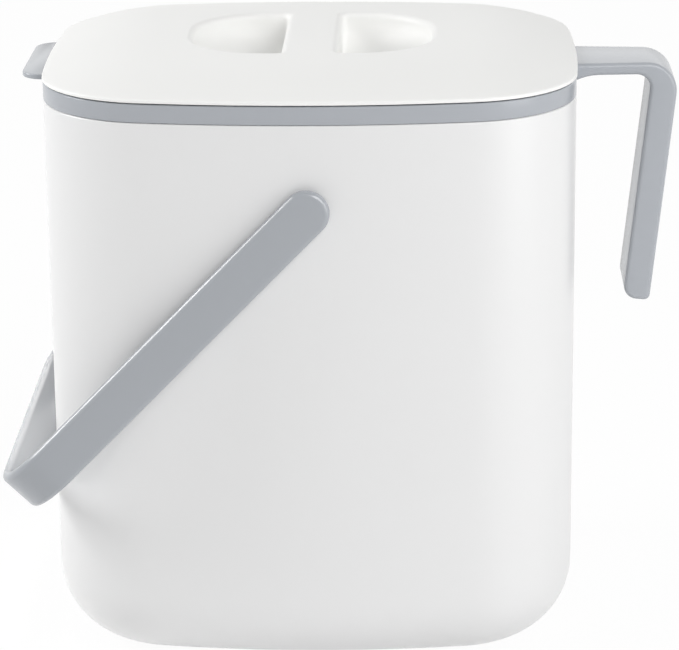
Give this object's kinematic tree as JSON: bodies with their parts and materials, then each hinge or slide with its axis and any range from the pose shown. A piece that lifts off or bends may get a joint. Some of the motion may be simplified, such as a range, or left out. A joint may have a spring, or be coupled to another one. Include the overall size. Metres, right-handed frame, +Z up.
{
  "type": "kitchen compost bin",
  "caption": "Oblong kitchen scraps bin: a shell with a swinging carrying bail, a lift-out bucket with a side handle and finger tab, and a sealed lid with finger scoops.",
  "frame": {"origin": "centre of the underside that the bin stands on", "axes": "+Z up, +X towards the bucket's side handle, -Y the front"},
  "size_m": [0.2669, 0.1872, 0.2405],
  "materials": {
    "white_shell": "satin moulded",
    "white_lid": "satin moulded",
    "white_liner": "satin moulded",
    "grey_bucket": "satin moulded",
    "grey_bail": "satin moulded",
    "pin_plastic": "plain moulded",
    "seal_silicone": "soft silicone"
  },
  "bodies": {
    "outer_bin": {"outer_bin": "white_shell"},
    "bail": {"bail_handle": "grey_bail", "pivot_pin_front": "pin_plastic", "pivot_pin_back": "pin_plastic"},
    "bucket": {"inner_bucket": "grey_bucket", "side_handle": "grey_bucket"},
    "lid": {"lid_cover": "white_lid", "lid_liner": "white_liner", "lid_seal": "seal_silicone"}
  },
  "joints": [
    {"name": "bail_swing", "type": "hinge", "parent": "outer_bin", "child": "bail", "pos_m": [0, 0, 0.191], "axis": [0, 1, 0], "range_deg": [-0.93, 272.15]},
    {"name": "bucket_lift", "type": "slide", "parent": "outer_bin", "child": "bucket", "axis": [0, 0, 1], "range_m": [0, 0.235]},
    {"name": "lid_lift", "type": "slide", "parent": "bucket", "child": "lid", "axis": [0, 0, 1], "range_m": [0, 0.1]}
  ]
}
